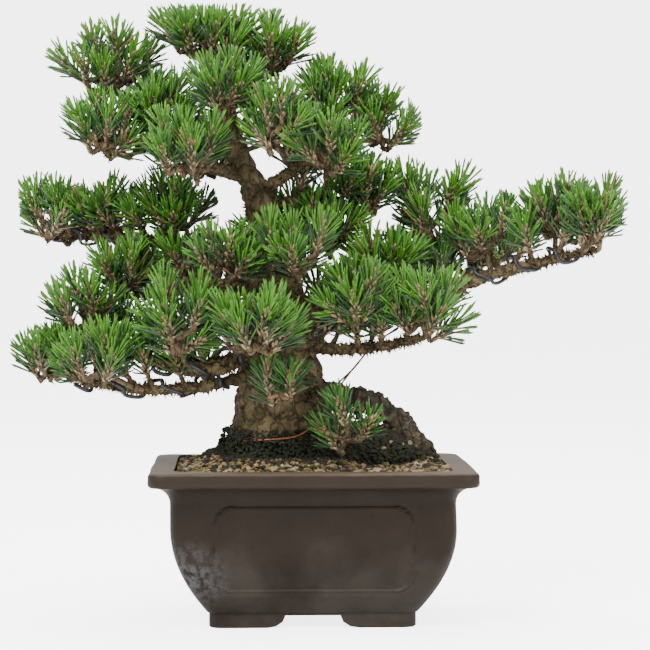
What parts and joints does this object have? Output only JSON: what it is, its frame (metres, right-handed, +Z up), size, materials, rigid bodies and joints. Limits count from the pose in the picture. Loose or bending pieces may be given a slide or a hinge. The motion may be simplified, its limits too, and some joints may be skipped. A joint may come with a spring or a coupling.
{
  "type": "japanese black pine bonsai in a pot",
  "caption": "Short-needled black pine bonsai with a flared leaning trunk, pads of needles and one long right-hand bough, in a rectangular brown pot.",
  "frame": {"origin": "centre of the pot's underside, on the surface it stands on", "axes": "+X to the right seen from the front, along the pot's length; +Y to the back; +Z up"},
  "size_m": [0.3578, 0.1975, 0.366],
  "materials": {
    "clay": "brown unglazed fired clay, with a dull sheen and lighter rim",
    "soil": "grains of clay and pumice, with dark moss round the trunk",
    "bark": "flaking grey-brown bark",
    "needles": "green needles on brown twigs"
  },
  "bodies": {
    "root": {"apex_back_needles": "needles", "apex_front_needles": "needles", "apex_right_needles": "needles", "apex_top_needles": "needles", "back_left_bough": "bark", "back_left_needles": "needles", "back_low_bough": "bark", "back_low_needles": "needles", "back_middle_needles": "needles", "back_right_bough": "bark", "back_right_needles": "needles", "back_upper_needles": "needles", "back_upper_right_needles": "needles", "centre_left_needles": "needles", "centre_low_needles": "needles", "centre_needles": "needles", "centre_right_needles": "needles", "elbow_bough": "bark", "left_bough": "bark", "left_low_needles": "needles", "left_middle_needles": "needles", "left_outer_needles": "needles", "left_tip_needles": "needles", "left_top_needles": "needles", "low_front_needles": "needles", "low_right_bough": "bark", "low_right_needles": "needles", "lower_left_bough": "bark", "lower_right_bough": "bark", "mid_left_bough": "bark", "mid_left_inner_needles": "needles", "mid_left_needles": "needles", "mid_left_tip_needles": "needles", "pot": "clay", "right_back_needles": "needles", "right_bough": "bark", "right_centre_needles": "needles", "right_centre_top_needles": "needles", "right_inner_needles": "needles", "right_low_needles": "needles", "right_middle_needles": "needles", "right_outer_bough": "bark", "right_outer_needles": "needles", "right_tip_needles": "needles", "right_upper_bough": "bark", "soil": "soil", "surface_root": "bark", "trunk": "bark", "upper_centre_left_needles": "needles", "upper_centre_low_needles": "needles", "upper_centre_right_needles": "needles", "upper_left_bough": "bark", "upper_left_low_needles": "needles", "upper_left_top_needles": "needles", "upper_right_front_needles": "needles", "upper_right_low_needles": "needles", "upper_right_spur": "bark", "upper_right_tip_needles": "needles", "upper_right_top_needles": "needles"}
  },
  "joints": []
}
